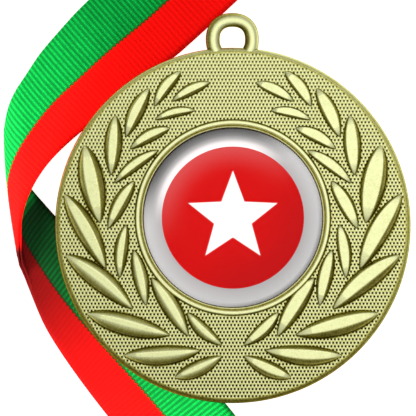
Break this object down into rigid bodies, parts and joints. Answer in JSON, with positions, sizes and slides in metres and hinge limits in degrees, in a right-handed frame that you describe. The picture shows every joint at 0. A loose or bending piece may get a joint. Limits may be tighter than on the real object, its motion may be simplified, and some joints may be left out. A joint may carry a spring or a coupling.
{
  "type": "award medal",
  "caption": "Round cast award medal with a laurel wreath, a domed centre insert and an eye, lying face up on its folded striped neck ribbon with clamp and ring.",
  "frame": {"origin": "centre of the eye cast at the top of the medal, half way through its bar", "axes": "+Z out of the medal's face and along the eye's hole, +Y from the disc's centre to the eye, +X to the right across the face"},
  "size_m": [0.0574, 0.0857, 0.0086],
  "materials": {
    "gold_casting": "pale greenish gold plating on a zinc alloy casting, stippled field, smooth leaves",
    "adhesive_foam": "white double-sided foam",
    "printed_plate": "printed aluminium: red disc, grey surround, white star",
    "clear_resin": "clear poured dome",
    "ribbon_weave": "green and red striped grosgrain ribbon",
    "band_paper": "off-white paper",
    "clip_steel": "bright nickel-plated steel"
  },
  "bodies": {
    "ribbon": {"ribbon_strand": "ribbon_weave", "ribbon_hank": "ribbon_weave", "paper_band": "band_paper", "ribbon_clamp": "clip_steel"},
    "medal": {"medal_body": "gold_casting", "insert_adhesive_pad": "adhesive_foam", "insert_plate": "printed_plate", "insert_dome": "clear_resin"},
    "ring": {"ribbon_ring": "clip_steel"}
  },
  "joints": [
    {"name": "medal_lift", "type": "slide", "parent": "ribbon", "child": "medal", "axis": [0, 0, 1], "range_m": [0, 0.03]},
    {"name": "ring_swing", "type": "hinge", "parent": "ribbon", "child": "ring", "pos_m": [0.0003, -0.06445, -0.00566], "axis": [-0.788, -0.6157, 0], "range_deg": [-95, 110]}
  ]
}
